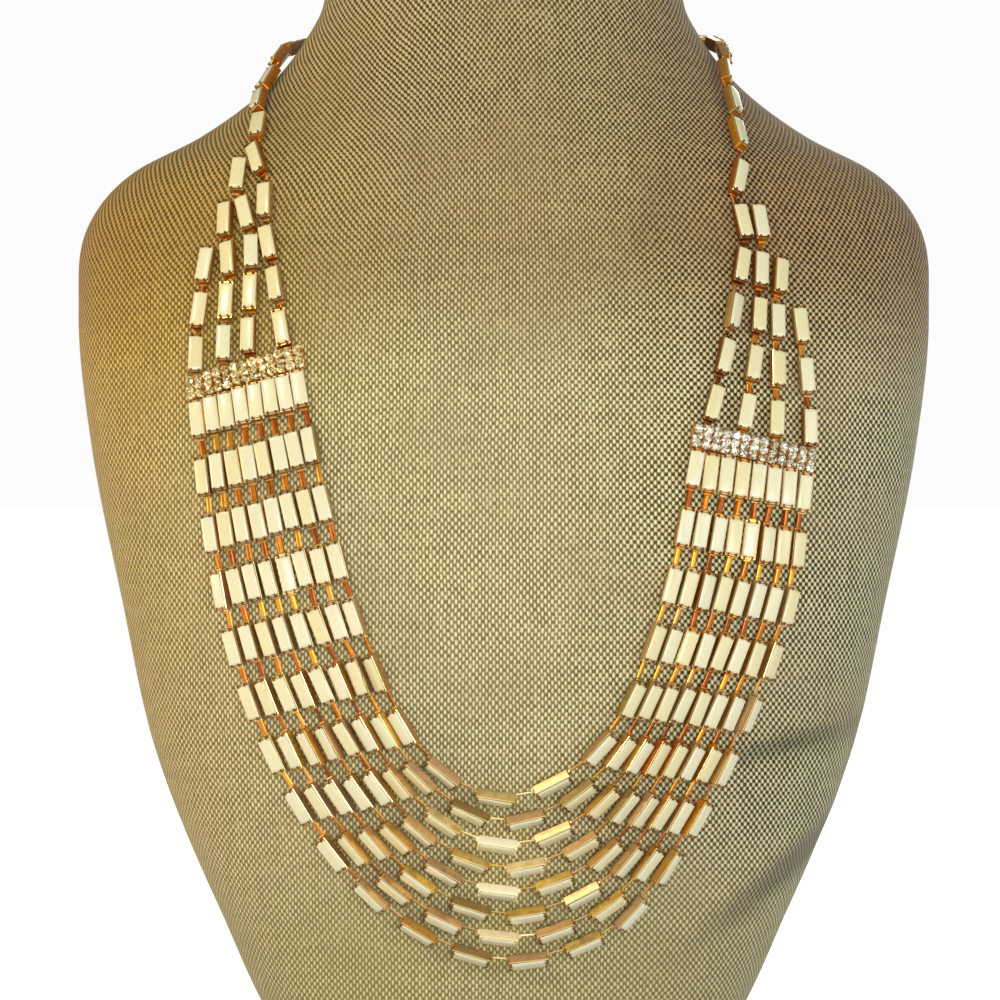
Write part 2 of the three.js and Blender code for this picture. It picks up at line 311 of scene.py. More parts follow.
def newLayout(name):
    tree = bpy.data.node_groups.new(name, "GeometryNodeTree")
    face = tree.interface
    wanted = [
        ("Geometry", "NodeSocketGeometry", None), ("Link", "NodeSocketObject", None),
        ("Joint", "NodeSocketObject", None), ("Metal or stone", "NodeSocketMaterial", None),
        ("Link size", "NodeSocketFloat", 1.0), ("Joint width", "NodeSocketFloat", 1.0),
        ("Loose turn", "NodeSocketFloat", 0.0), ("Link tone low", "NodeSocketFloat", 0.0),
        ("Link tone high", "NodeSocketFloat", 1.0), ("Joint tone low", "NodeSocketFloat", 0.0),
        ("Joint tone high", "NodeSocketFloat", 1.0), ("Seed", "NodeSocketInt", 1),
    ]
    for label, kind, value in wanted:
        socket = face.new_socket(label, in_out="INPUT", socket_type=kind)
        if value is not None:
            socket.default_value = value
    face.new_socket("Geometry", in_out="OUTPUT", socket_type="NodeSocketGeometry")

    shop = NodeShop(tree)
    given = shop.node("NodeGroupInput")

    def attribute(label, kind):
        return shop.node("GeometryNodeInputNamedAttribute", {"data_type": kind}, {"Name": label}).out("Attribute")

    def randomBetween(low, high, step):
        values = {"Min": low, "Max": high, "Seed": given.out("Seed") + step}
        return shop.node("FunctionNodeRandomValue", {"data_type": "FLOAT"}, values).out("Value")

    turn = shop.node("FunctionNodeAxesToRotation", {"primary_axis": "Z", "secondary_axis": "X"},
                     {"Primary Axis": attribute("facing", "FLOAT_VECTOR"),
                      "Secondary Axis": attribute("along", "FLOAT_VECTOR")})
    loose = given.out("Loose turn")
    wobble = shop.vector(*[randomBetween(-1.0, 1.0, step) * loose for step in (1, 2, 3)])
    turn = shop.node("FunctionNodeRotateRotation", {"rotation_space": "LOCAL"},
                     {"Rotation": turn, "Rotate By": shop.node("FunctionNodeEulerToRotation", None, {0: wobble})})
    isJoint = attribute("joint", "FLOAT")
    parts = []
    for label, pick, size in (
        ("Link", 1 - isJoint, shop.vector(given.out("Link size"), given.out("Link size"), given.out("Link size"))),
        ("Joint", isJoint, shop.vector(attribute("span", "FLOAT"), given.out("Joint width"), 1.0)),
    ):
        pattern = shop.node("GeometryNodeObjectInfo", None, {"Object": given.out(label), "As Instance": True})
        laid = shop.node("GeometryNodeInstanceOnPoints", None, {
            "Points": given.out("Geometry"), "Selection": pick, "Instance": pattern.out("Geometry"),
            "Rotation": turn, "Scale": size})
        tone = randomBetween(given.out(label + " tone low"), given.out(label + " tone high"), 4)
        # the painted light is added to the tone: painted highlight raises it and painted shade lowers it
        tone = tone + attribute("gleam", "FLOAT")
        parts.append(shop.node("GeometryNodeStoreNamedAttribute", {"data_type": "FLOAT", "domain": "INSTANCE"},
                               {"Geometry": laid, "Name": "tone", "Value": tone}))
    joined = shop.node("GeometryNodeJoinGeometry", None, {"Geometry": parts})
    plain = shop.node("GeometryNodeRealizeInstances", None, {"Geometry": joined})
    finished = shop.node("GeometryNodeSetMaterial", None,
                         {"Geometry": plain, "Material": given.out("Metal or stone")})
    shop.node("NodeGroupOutput", None, {"Geometry": finished})
    return tree


# One row for each point: its place, the way it runs, the way it faces, its span, whether it is a joint,
# and its painted light: how much brighter or darker than the others it is painted.
def pointMesh(name, rows):
    mesh = bpy.data.meshes.new(name)
    mesh.from_pydata([row["place"] for row in rows], [], [])
    for label, kind, key in (("along", "FLOAT_VECTOR", "vector"), ("facing", "FLOAT_VECTOR", "vector"),
                             ("span", "FLOAT", "value"), ("joint", "FLOAT", "value"),
                             ("gleam", "FLOAT", "value")):
        layer = mesh.attributes.new(label, kind, "POINT")
        for i, row in enumerate(rows):
            setattr(layer.data[i], key, row.get(label, 0.0))
    return mesh


def layOut(name, rows, tree, values):
    holder = addObject(name + "_points", pointMesh(name + "_points", rows))
    modifier = holder.modifiers.new("layout", "NODES")
    modifier.node_group = tree
    for item in tree.interface.items_tree:
        if item.item_type == "SOCKET" and item.in_out == "INPUT" and item.name in values:
            modifier[item.identifier] = values[item.name]
    depsgraph = bpy.context.evaluated_depsgraph_get()
    mesh = bpy.data.meshes.new_from_object(holder.evaluated_get(depsgraph), depsgraph=depsgraph)
    bpy.data.objects.remove(holder)
    mesh.name = name
    return addObject(name, mesh)


# Where the links lie: read from the long edges of each strand of the frame

linkSize = {"length": 10.8, "width": 3.8, "depth": 3.3, "apart": 6}

# Sections of the bust in millimetres: height, half width, depth in front and behind, and the
# power of its rounded outline.
bustColumns = ("z", "half", "front", "back", "power")
bustRows = [
    (0, 60, 51, 30, 2.2), (2, 62, 53, 32, 2.2), (45, 84, 67, 36, 2.3), (90, 102, 77, 41, 2.4),
    (135, 112, 81, 47, 2.5), (180, 121, 78, 53, 2.5), (220, 125, 67, 56, 2.4), (245, 122, 58, 57, 2.3),
    (260, 109, 55, 56, 2.2), (270, 90, 53, 55, 2.1), (285, 70, 50, 52, 2), (305, 55, 47, 48, 2),
    (323, 48, 44, 45, 2), (325, 45, 41, 42, 2),
]


# A smooth curve through one column of the table of sections.
def readSection(column, z):
    heights = [row[0] for row in bustRows]
    values = [row[bustColumns.index(column)] for row in bustRows]
    last = len(heights) - 2
    i = min(max(int(np.searchsorted(heights, z)) - 1, 0), last)

    def slope(n):
        return (values[n + 1] - values[n]) / (heights[n + 1] - heights[n])

    step = heights[i + 1] - heights[i]
    before = (slope(i - 1) + slope(i)) / 2 if i > 0 else slope(i)
    after = (slope(i + 1) + slope(i)) / 2 if i < last else slope(i)
    t = min(max((z - heights[i]) / step, 0), 1)
    drop = t * t * (3 - 2 * t)
    return values[i] + step * (drop * slope(i) + t * (1 - t) * ((1 - t) * before - t * after))


# Points of the cloth at some angles round the bust, at one height, in millimetres.
def sectionPoints(angles, z):
    power = readSection("power", z)
    side, ahead = np.sin(angles), np.cos(angles)
    depth = np.where(ahead > 0, readSection("front", z), readSection("back", z))
    x = readSection("half", z) * np.sign(side) * np.abs(side) ** (2 / power)
    y = -depth * np.sign(ahead) * np.abs(ahead) ** (2 / power)
    return np.stack([x, y, np.full_like(x, z)], axis=1)


# The way the cloth faces at the place nearest a point.
def clothNormal(point):
    z = min(max(point.z / mm, 1), bustRows[-2][0])
    angles = np.linspace(-math.pi, math.pi, 181)
    ring = sectionPoints(angles, z)
    nearest = int(np.argmin(np.hypot(ring[:, 0] - point.x / mm, ring[:, 1] - point.y / mm)))
    near = angles[nearest] + np.array([-0.02, 0.02])
    around = sectionPoints(near, z)
    rise = sectionPoints(angles[[nearest]], z + 1)[0] - sectionPoints(angles[[nearest]], z - 1)[0]
    return Vector(np.cross(around[1] - around[0], rise)).normalized()


# The place, run and face of each link of a strand in the frame, from one end to the other. The long
# edges of one link are nearer to each other than those of two links.
def linkFrames(node):
    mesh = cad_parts[node].data
    middles = {}
    for edge in mesh.edges:
        a, b = (mesh.vertices[v].co for v in edge.vertices)
        if abs((a - b).length / mm - linkSize["length"]) < 0.02:
            middle = (a + b) / 2
            middles[tuple(round(c / mm, 2) for c in middle)] = (middle, (b - a).normalized())
    edges = list(middles.values())
    found = []
    while edges:
        start = edges[0][0]
        own = [edge for edge in edges if (edge[0] - start).length < linkSize["apart"] * mm]
        edges = [edge for edge in edges if (edge[0] - start).length >= linkSize["apart"] * mm]
        place = sum((edge[0] for edge in own), Vector()) / len(own)
        facing = next((edge[0] - start).normalized() for edge in own
                      if abs((edge[0] - start).length / mm - linkSize["depth"]) < 0.05)
        if facing.dot(clothNormal(place)) < 0:
            facing.negate()
        found.append({"place": place, "along": own[0][1], "facing": facing})
    start = min(found, key=lambda link: link["place"].x if node.startswith("bib") else link["place"].z)
    ordered = [start]
    rest = [link for link in found if link is not start]
    while rest:
        here = ordered[-1]["place"]
        nearest = min(rest, key=lambda link: (link["place"] - here).length)
        rest.remove(nearest)
        ordered.append(nearest)
    for link, after in zip(ordered, ordered[1:]):
        if link["along"].dot(after["place"] - link["place"]) < 0:
            link["along"].negate()
    if ordered[-1]["along"].dot(ordered[-1]["place"] - ordered[-2]["place"]) < 0:
        ordered[-1]["along"].negate()
    return ordered


# How the links lie on the cloth, in degrees and millimetres: each leans outwards a little, more where
# its strand runs level at the bottom, and by chance. The links beside a stone-set bar keep only a share
# of that. The painted light is a painted highlight on a patch of links near the bottom middle, and
# painted shade on the links of the right side and on the neck chains.
looseness = {
    "lean": 4.0, "roll": 7.0, "yaw": 1.6, "shift": 0.25, "turnOut": 11.0, "levelFrom": 0.25, "levelTo": 0.8,
    "middleHeight": 170, "endShare": 0.2, "seed": 8,
    "paintedLightX": 2.0, "paintedLightZ": 57.0, "paintedLightReach": 14.0, "gleam": 0.56, "paintedShadeFromX": 40, "paintedShade": 0.14,
    "chainPaintedShade": 0.26,
}


def settleLinks(node, ordered, luck):
    lowest, highest = looseness["levelFrom"], looseness["levelTo"]
    for i, link in enumerate(ordered):
        along, facing, place = link["along"], link["facing"], link["place"]
        level = min(max((abs(along.x) - lowest) / (highest - lowest), 0), 1)
        roll = (looseness["lean"] + luck.gauss(0, 1) * looseness["roll"] * (1 - level * 0.5)
                + looseness["turnOut"] * level)
        if node in bibNodes and i in (0, len(ordered) - 1):
            roll *= looseness["endShare"]
        outwards = Vector((place.x, 0, place.z - looseness["middleHeight"] * mm))
        turned = Matrix.Rotation(math.radians(roll), 3, along) @ facing
        if (turned - facing).dot(outwards) * roll < 0:
            turned = Matrix.Rotation(math.radians(-roll), 3, along) @ facing
        link["facing"] = turned
        yaw = math.radians(luck.uniform(-1, 1) * looseness["yaw"])
        link["along"] = Matrix.Rotation(yaw, 3, facing) @ along
        link["place"] = place + along * luck.uniform(-1, 1) * looseness["shift"] * mm
        # painted highlight on a patch round one place, painted shade on the right side and on the neck chains
        away = math.hypot(place.x / mm - looseness["paintedLightX"], place.z / mm - looseness["paintedLightZ"])
        near = math.exp(-(away / looseness["paintedLightReach"]) ** 2)
        paintedShade = looseness["paintedShade"] if place.x > looseness["paintedShadeFromX"] * mm else 0
        link["gleam"] = -looseness["chainPaintedShade"] if node in chainNodes else looseness["gleam"] * near - paintedShade
    return ordered


bibNodes = [f"bib_strand_{n}" for n in range(1, 9)]
chainNodes = [f"neck_chain_{side}_{n}" for side in ("left", "right") for n in range(1, 5)]
linkLuck = random.Random(looseness["seed"])
links = {node: settleLinks(node, linkFrames(node), linkLuck) for node in bibNodes + chainNodes}
print("links found:", sum(len(found) for found in links.values()))


# Finishes

# Gold colours along the tone. The near-white stops at the top are painted highlight, reached where painted light
# is added to a link's tone.
goldTone = {
    "stops": [(0, (0.06, 0.018, 0.003)), (0.12, (0.30, 0.07, 0.005)), (0.26, (0.62, 0.19, 0.010)),
              (0.38, (0.78, 0.35, 0.03)), (0.5, (0.68, 0.38, 0.09)), (0.64, (0.78, 0.48, 0.21)),
              (0.76, (0.46, 0.31, 0.09)), (0.85, (0.92, 0.58, 0.10)), (0.93, (1.0, 0.82, 0.42)),
              (1, (1.0, 0.97, 0.88))],
    "patina": (0.045, 0.014, 0.002), "paintedHighlight": (1.0, 0.80, 0.36),
    "cloudiness": 0.14, "stained": 0.35, "paintedGlow": 0.45, "paintedGlowFrom": 0.86,
}


def makeGold():
    material, shop, shader = newMaterial("antiqueGold", goldTone["stops"][3][1], Metallic=0.66,
                                         Emission_Strength=goldTone["paintedGlow"])
    place = shop.node("ShaderNodeTexCoord").out("Object")
    tone = shop.node("ShaderNodeAttribute", {"attribute_name": "tone"}).out("Fac")
    patina = shop.node("ShaderNodeAttribute", {"attribute_name": "patina"}).out("Fac")
    cloud = shop.noise(place, 500.0, 2.0)
    shade = tone + (cloud - 0.5) * goldTone["cloudiness"]
    colour = shop.node("ShaderNodeValToRGB", {"stops": goldTone["stops"]}, {"Fac": shade}).out("Color")
    stainAndPaintedLight = shop.noise(place, 260.0, 3.0, 0.55).rise(0.6, 0.8) * goldTone["stained"]
    colour = shop.mixColour(stainAndPaintedLight, colour, goldTone["patina"])
    # darker where the patina is above zero, partly painted shade in the seams, and a painted highlight of pale
    # gold along the rims where it is below zero
    colour = shop.mixColour(patina, colour, goldTone["patina"])
    colour = shop.mixColour(patina * -1, colour, goldTone["paintedHighlight"])
    shop.fill(shader, "Base Color", colour)
    # the brightest links get a painted glow, emission in the highlight colour, though they are no lamp
    paintedGlow = shop.mixColour(tone.rise(goldTone["paintedGlowFrom"], 1.0), (0, 0, 0), goldTone["paintedHighlight"])
    shop.fill(shader, "Emission Color", paintedGlow)
    shop.fill(shader, "Roughness", 0.16 + cloud * 0.16 + patina * 0.2)
    shop.fill(shader, "Normal", shop.bump(shop.noise(place, 420.0, 1.0), 0.2, 0.00012))
    return material


# Cream colours; the edge colour is painted shade in the seam where each bar sinks into its setting.
creamBar = {"cream": (0.93, 0.89, 0.56), "pale": (0.95, 0.93, 0.66), "yellow": (0.93, 0.84, 0.44),
            "edge": (0.16, 0.09, 0.02)}


def makeCream():
    material, shop, shader = newMaterial("creamEnamel", creamBar["cream"], Coat_Weight=0.5,
                                         Coat_Roughness=0.12, IOR=1.5)
    place = shop.node("ShaderNodeTexCoord").out("Object")
    tone = shop.node("ShaderNodeAttribute", {"attribute_name": "tone"}).out("Fac")
    patina = shop.node("ShaderNodeAttribute", {"attribute_name": "patina"}).out("Fac")
    cloud = shop.noise(place, 420.0, 3.0)
    # a higher tone makes a cream paler and a lower one yellower; the tone holds chance and painted light, so the
    # painted highlight patch is paler and the painted shade yellower
    colour = shop.mixColour((tone + (cloud - 0.5) * 0.5).rise(0.1, 0.95), creamBar["cream"], creamBar["pale"])
    colour = shop.mixColour((1 - tone).rise(0.5, 1.0) * 0.6, colour, creamBar["yellow"])
    colour = shop.mixColour(patina, colour, creamBar["edge"])
    shop.fill(shader, "Base Color", colour)
    shop.fill(shader, "Roughness", 0.22 + cloud * 0.14)
    shop.fill(shader, "Normal", shop.bump(shop.noise(place, 300.0, 2.0), 0.12, 0.0002))
    return material


gold = makeGold()
cream = makeCream()


# The links

setting = {"rim": 1.1, "wall": 0.1, "floor": -0.2, "cut": 0.2, "lip": 0.17, "prongWidth": 0.5, "prongReach": 0.8,
           "prongPlace": 1.12, "loopRadius": 0.42, "loopHalf": 1.05}
bar = {"halfLength": 4.9, "halfWidth": 1.93, "top": 1.7, "slope": 0.42, "bevel": 0.4, "cut": 0.34}
strip = {"width": 1.75, "thickness": 0.45, "inset": 0.4, "overlap": 0.3, "sides": 7, "extraTwist": 1.4,
         "gleam": 0.6, "paintedLightFrom": 0.7}


# A folded box with an open top, two prongs over each end of the bar, and a rolled loop at each end.
def settingMesh():
    builder = bmesh.new()
    length, width, depth = (linkSize[key] / 2 for key in ("length", "width", "depth"))
    rim, wall, cut, lip = setting["rim"], setting["wall"], setting["cut"], setting["lip"]
    inner = bar["halfLength"]
    # down the rings: darker towards the bottom, a painted highlight along the lip of the rim, and painted shade
    # inside the rim round the bar
    addRings(builder, [
        cutRectangle(length - 0.2, width - 0.2, cut, -depth),
        cutRectangle(length - 0.04, width - 0.04, cut, -depth + 0.2),
        cutRectangle(length - 0.04, width - 0.05, cut, rim - 0.42),
        cutRectangle(length, width + lip * 0.6, cut, rim - 0.34),
        cutRectangle(length, width + lip, cut, rim - 0.2),
        cutRectangle(length - 0.04, width + lip * 0.3, cut, rim - 0.08),
        cutRectangle(inner, width - wall, cut, rim - 0.08),
        cutRectangle(inner, width - wall, cut, setting["floor"]),
    ], patina=[0.6, 0.4, 0.0, -0.4, -1.0, -0.4, 0.9, 0.9])
    half = setting["prongWidth"] / 2
    for end in (-1, 1):
        for side in (-1, 1):
            y = side * setting["prongPlace"]
            path = [(length - 0.15, rim - 0.3, 0.28), (length + 0.1, rim + 0.1, 0.32),
                    (length - 0.2, rim + 0.5, 0.26), (length - setting["prongReach"], bar["top"] + 0.04, 0.16)]
            rings = []
            for x, z, thick in path:
                low, high = z - thick / 2, z + thick / 2
                rings.append([Vector((end * x, y + a * half, b)) * mm
                              for a, b in ((-1, low), (1, low), (1, high), (-1, high))])
            addRings(builder, rings, patina=[0.2, 0.6, 0.9, 0.9])
        middle = (end * (length + setting["loopRadius"] - 0.12), 0, -depth + setting["loopRadius"] + 0.1)
        addRings(builder, roundBar(middle, setting["loopRadius"], setting["loopHalf"], 10), patina=0.1)
    return finishMesh(builder, "link_setting")


def barMesh():
    builder = bmesh.new()
    length, width, cut, bevel = bar["halfLength"], bar["halfWidth"], bar["cut"], bar["bevel"]
    rim, top = setting["rim"], bar["top"]
    # the bar is darkened below the rim, painted shade in the seam of its setting
    addRings(builder, [
        cutRectangle(length - 0.1, width - 0.2, cut, setting["floor"] + 0.05),
        cutRectangle(length - 0.04, width - 0.16, cut, rim + 0.02),
        cutRectangle(length - 0.02, width, cut, rim + 0.16),
        cutRectangle(length - bar["slope"] * 0.4, width - bevel * 0.2, cut, rim + 0.34),
        cutRectangle(length - bar["slope"], width - bevel, cut * 0.9, top - 0.08),
        cutRectangle(length - bar["slope"] - 0.5, width - bevel - 0.6, cut * 0.7, top),
    ], patina=[0.9, 0.9, 0.2, 0.0, 0.0, 0.0])
    return finishMesh(builder, "link_bar", 40)


# A strip of unit length with a rounded face, its middle at the origin, stretched to its span when laid.
def stripMesh():
    builder = bmesh.new()
    half, thick = strip["width"] / 2 * mm, strip["thickness"] * mm
    turns = [math.pi * s / (strip["sides"] - 1) for s in range(strip["sides"])]
    rings = [[Vector((x, half * math.cos(t), thick * (math.sin(t) - 0.5))) for t in turns]
             for x in (-0.5, -0.3, 0.3, 0.5)]
    # the ends are darkened, painted shade where they pass under the loops of the links
    addRings(builder, rings, patina=[0.7, 0.0, 0.0, 0.7])
    return finishMesh(builder, "link_strip", 60)


# The strips that join the links of a strand, laid between the loops at the backs of the links. Where
# a strand turns on its side they turn further, until they stand on their edges.
def stripRows(ordered):
    rows = []
    reach = linkSize["length"] / 2 * mm
    drop = (linkSize["depth"] / 2 - strip["inset"]) * mm
    for link, after in zip(ordered, ordered[1:]):
        start = link["place"] + link["along"] * reach - link["facing"] * drop
        end = after["place"] - after["along"] * reach - after["facing"] * drop
        facing = (link["facing"] + after["facing"]).normalized()
        outOfCloth = (clothNormal(link["place"]) + clothNormal(after["place"])).normalized()
        twisted = (facing + (facing - outOfCloth * facing.dot(outOfCloth)) * strip["extraTwist"]).normalized()
        run = end - start
        # strips that run level, at the bottom of a strand, get a painted highlight
        level = max(abs(run.normalized().x) - strip["paintedLightFrom"], 0) / (1 - strip["paintedLightFrom"])
        rows.append({"place": (start + end) / 2, "along": run.normalized(), "facing": twisted,
                     "span": run.length + 2 * strip["overlap"] * mm, "joint": 1.0,
                     "gleam": strip["gleam"] * level})
    return rows


layout = newLayout("link_layout")
settingPattern = addObject("setting_pattern", settingMesh())
barPattern = addObject("bar_pattern", barMesh())
stripPattern = addObject("strip_pattern", stripMesh())

metalTones = {"Link tone low": 0.4, "Link tone high": 0.87, "Joint tone low": 0.06, "Joint tone high": 0.48}
for seed, (node, ordered) in enumerate(links.items()):
    metal = layOut(node + "_settings", ordered + stripRows(ordered), layout, {
        "Link": settingPattern, "Joint": stripPattern, "Metal or stone": gold, "Seed": 11 + seed, **metalTones})
    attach(metal, "root")
    bars = layOut(node + "_bars", ordered, layout, {
        "Link": barPattern, "Metal or stone": cream, "Loose turn": math.radians(1.0), "Seed": 101 + seed})
    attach(bars, "root")
    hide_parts(node)
print("strands and neck chains")


# The stone-set bars

stoneBar = {"height": 6.6, "gap": 0.5, "bed": -0.1, "depth": 3.3, "rows": 3, "columns": 13, "overhang": 0.5,
            "radius": 1.42, "segments": 24, "bedTone": 0.34, "prongRadius": 0.3, "prongTone": (0.08, 0.4),
            "stoneTurn": 14}


# A round stone with a flat top: a ring of facets above its edge, and a cone below.
def chatonMesh():
    builder = bmesh.new()
    radius = stoneBar["radius"]
    rings = []
    for height, size, turn in ((-0.75, 0.15, 0), (0, 1, 0), (0.14, 0.98, 0), (0.6, 0.5, 0.5), (0.62, 0.08, 0.5)):
        rings.append([Vector((radius * size * math.cos(math.pi / 4 * (s + turn)),
                              radius * size * math.sin(math.pi / 4 * (s + turn)), height)) * mm for s in range(8)])
    addRings(builder, rings)
    bmesh.ops.triangulate(builder, faces=[face for face in builder.faces if len(face.verts) == 4])
    return finishMesh(builder, "chaton", 1)


def prongMesh():
    builder = bmesh.new()
    rings = []
    for height, size in ((-0.9, 1), (-0.1, 1), (0.05, 0.8), (0.12, 0.4)):
        radius = stoneBar["prongRadius"] * size
        rings.append([Vector((radius * math.cos(math.pi / 3 * s), radius * math.sin(math.pi / 3 * s),
                              height)) * mm for s in range(6)])
    addRings(builder, rings, patina=0.15)
    return finishMesh(builder, "stone_prong", 60)


# The stones' colours: each face's painted glint picks a colour from dark to white, painted shade and painted
# highlight, and the brightest faces get a painted glow.
foilGlass = {"stops": [(0, (0.03, 0.016, 0.004)), (0.2, (0.20, 0.12, 0.035)), (0.38, (0.50, 0.38, 0.16)),
                       (0.55, (0.62, 0.56, 0.38)), (0.72, (0.80, 0.80, 0.72)), (0.88, (1, 1, 1))], "paintedGlow": 0.28}


def makeFoilGlass(name, tint):
    material, shop, shader = newMaterial(name, (0.8, 0.78, 0.7), Metallic=0.3, Roughness=0.06, Coat_Weight=1.0,
                                         Coat_Roughness=0.02, Emission_Strength=foilGlass["paintedGlow"])
    tone = shop.node("ShaderNodeAttribute", {"attribute_name": "tone"}).out("Fac")
    facet = shop.node("ShaderNodeAttribute", {"attribute_name": "facet"}).out("Fac")
    shade = facet * 0.75 + tone * 0.25
    glint = shop.node("ShaderNodeValToRGB", {"stops": foilGlass["stops"]}, {"Fac": shade})
    colour = shop.mixColour(1.0, glint.out("Color"), tint, "MULTIPLY")
    shop.fill(shader, "Base Color", colour)
    shop.fill(shader, "Emission Color", shop.mixColour(shade.rise(0.45, 0.8), (0, 0, 0), colour))
    return material


# Gives each face of the stones a random painted glint, its share of painted light.
def paintGlints(piece, seed):
    mesh = piece.data
    layer = mesh.attributes.new("facet", "FLOAT", "FACE")
    layer.data.foreach_set("value", np.random.default_rng(seed).random(len(mesh.polygons)).astype(np.float32))


def bezier(points, t):
    a, b, c = points
    return a * (1 - t) ** 2 + b * (2 * t * (1 - t)) + c * t ** 2, ((b - a) * (1 - t) + (c - b) * t).normalized()


chatonPattern = addObject("chaton_pattern", chatonMesh())
prongPattern = addObject("prong_pattern", prongMesh())


def makeStoneBar(side):
    ends = [links[node][0 if side == "left" else -1] for node in bibNodes]
    sign = -1 if side == "left" else 1
    reach = (linkSize["length"] / 2 + stoneBar["gap"] + stoneBar["height"] / 2) * mm * sign
    middles = [end["place"] + end["along"] * reach for end in ends]
    bow = (middles[0], middles[3] + middles[4] - (middles[0] + middles[7]) / 2, middles[7])
    rise = ends[3]["along"] * sign
    past = (linkSize["width"] / 2 + stoneBar["overhang"]) * mm
    total = (middles[7] - middles[0]).length + 2 * past

    # a place on the bar: its share of the length, its height up the bar and its height off the middle
    def spot(share, height, off):
        t = (share * total - past) / (total - 2 * past)
        place, run = bezier(bow, min(max(t, 0), 1))
        place = place + run * (t - min(max(t, 0), 1)) * (total - 2 * past)
        up = (rise - run * rise.dot(run)).normalized()
        out = run.cross(up) * sign
        return {"place": place + up * height * mm + out * off * mm, "along": run, "facing": out}

    builder = bmesh.new()
    half, low, high = stoneBar["height"] / 2, -stoneBar["depth"] / 2, stoneBar["bed"]
    outline = [(-half, low), (half, low), (half, high + 0.35), (half - 0.2, high + 0.45), (half - 0.3, high),
               (-half + 0.3, high), (-half + 0.2, high + 0.45), (-half, high + 0.35)]
    addRings(builder, [[spot(s / stoneBar["segments"], up, off)["place"] for up, off in outline]
                       for s in range(stoneBar["segments"] + 1)])
    bed = addObject(f"rhinestone_bar_{side}_bed", finishMesh(builder, f"rhinestone_bar_{side}_bed"))
    tone = bed.data.attributes.new("tone", "FLOAT", "POINT")
    tone.data.foreach_set("value", [stoneBar["bedTone"]] * len(bed.data.vertices))
    bed.data.materials.append(gold)

    rows, columns = stoneBar["rows"], stoneBar["columns"]
    pitch = stoneBar["height"] / rows
    stones = [spot((c + 0.5) / columns, (r - (rows - 1) / 2) * pitch * 0.97, 0.62)
              for c in range(columns) for r in range(rows)]
    prongs = [spot(c / columns, (r - rows / 2) * pitch * 0.93, 0.9)
              for c in range(1, columns) for r in range(rows + 1)]
    gilt = layOut(f"rhinestone_bar_{side}_prongs", prongs, layout, {
        "Link": prongPattern, "Metal or stone": gold, "Seed": 5, "Link tone low": stoneBar["prongTone"][0],
        "Link tone high": stoneBar["prongTone"][1]})
    glass = layOut(f"rhinestone_bar_{side}_stones", stones, layout, {
        "Link": chatonPattern, "Metal or stone": foil[side], "Loose turn": math.radians(stoneBar["stoneTurn"]),
        "Seed": 7})
    paintGlints(glass, 21 if side == "left" else 22)
    for piece in (bed, gilt, glass):
        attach(piece, "root")
    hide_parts(f"rhinestone_bar_{side}")


# the left bar's stones are tinted warm and the right bar's a little cool, painted reflection of the warm light
# from the left
foil = {
    "left": makeFoilGlass("foilGlassWarmPaintedReflection", (1, 0.88, 0.50)),
    "right": makeFoilGlass("clearFoilGlass", (0.96, 1, 0.98)),
}
makeStoneBar("left")
makeStoneBar("right")
print("rhinestone bars")


# The clasp

# its shape along half its length: place and size, then the same the other way round
clasp = {"rows": [(0.04, 0.86), (0.06, 1), (0.45, 1), (0.5, 0.92), (0.55, 1), (0.8, 0.98), (0.84, 0.9),
                  (0.9, 0.6), (0.97, 0.42), (1, 0.3)], "sides": 28, "tone": 0.8}


def makeClasp():
    low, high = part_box("clasp")
    middle, half = (low + high) / 2, (high - low) / 2
    builder = bmesh.new()
    turns = [2 * math.pi * s / clasp["sides"] for s in range(clasp["sides"])]
    rows = [(-along, size) for along, size in reversed(clasp["rows"])] + clasp["rows"]
    addRings(builder, [[middle + Vector((half.x * along, half.y * size * math.cos(t), half.z * size * math.sin(t)))
                        for t in turns] for along, size in rows])
    piece = addObject("clasp_barrel", finishMesh(builder, "clasp_barrel", 25))
    tone = piece.data.attributes.new("tone", "FLOAT", "POINT")
    tone.data.foreach_set("value", [clasp["tone"]] * len(piece.data.vertices))
    piece.data.materials.append(gold)
    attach(piece, "root")
    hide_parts("clasp")


makeClasp()
print("clasp")


# The bust

# The cloth. Pitches are in millimetres. The weave's height is made of crossings and ridges, which change
# where the weave is open, and of uneven spots and threads. Its pits are painted darker towards the right
# shoulder and the neck, as painted shade, and lighter near the base, as painted light.
cloth = {
    "sides": 300, "bandHeight": 1.6, "drape": 0.55, "rise": 0.25,
    "warpPitch": 0.95, "weftPitch": 1.12, "wander": 0.8, "closerAtNeck": 0.12,
    "crossings": 0.36, "openCrossings": 0.14, "ridges": 0.15, "openRidges": 0.08, "slant": 0.16,
    "spots": 0.35, "threads": 0.18, "pits": 0.55, "paintedPitShade": 0.13, "neckOpennessAndShade": 0.6, "basePaintedPitLight": 0.7,
    "bumpHeight": 0.00045, "bumpStrength": 0.6, "mottle": 0.25,
    "light": (0.95, 0.90, 0.54), "middle": (0.31, 0.26, 0.10), "dark": (0.026, 0.021, 0.006),
    "mottled": (0.42, 0.33, 0.16), "creaseShade": (0.45, 0.43, 0.40),
}

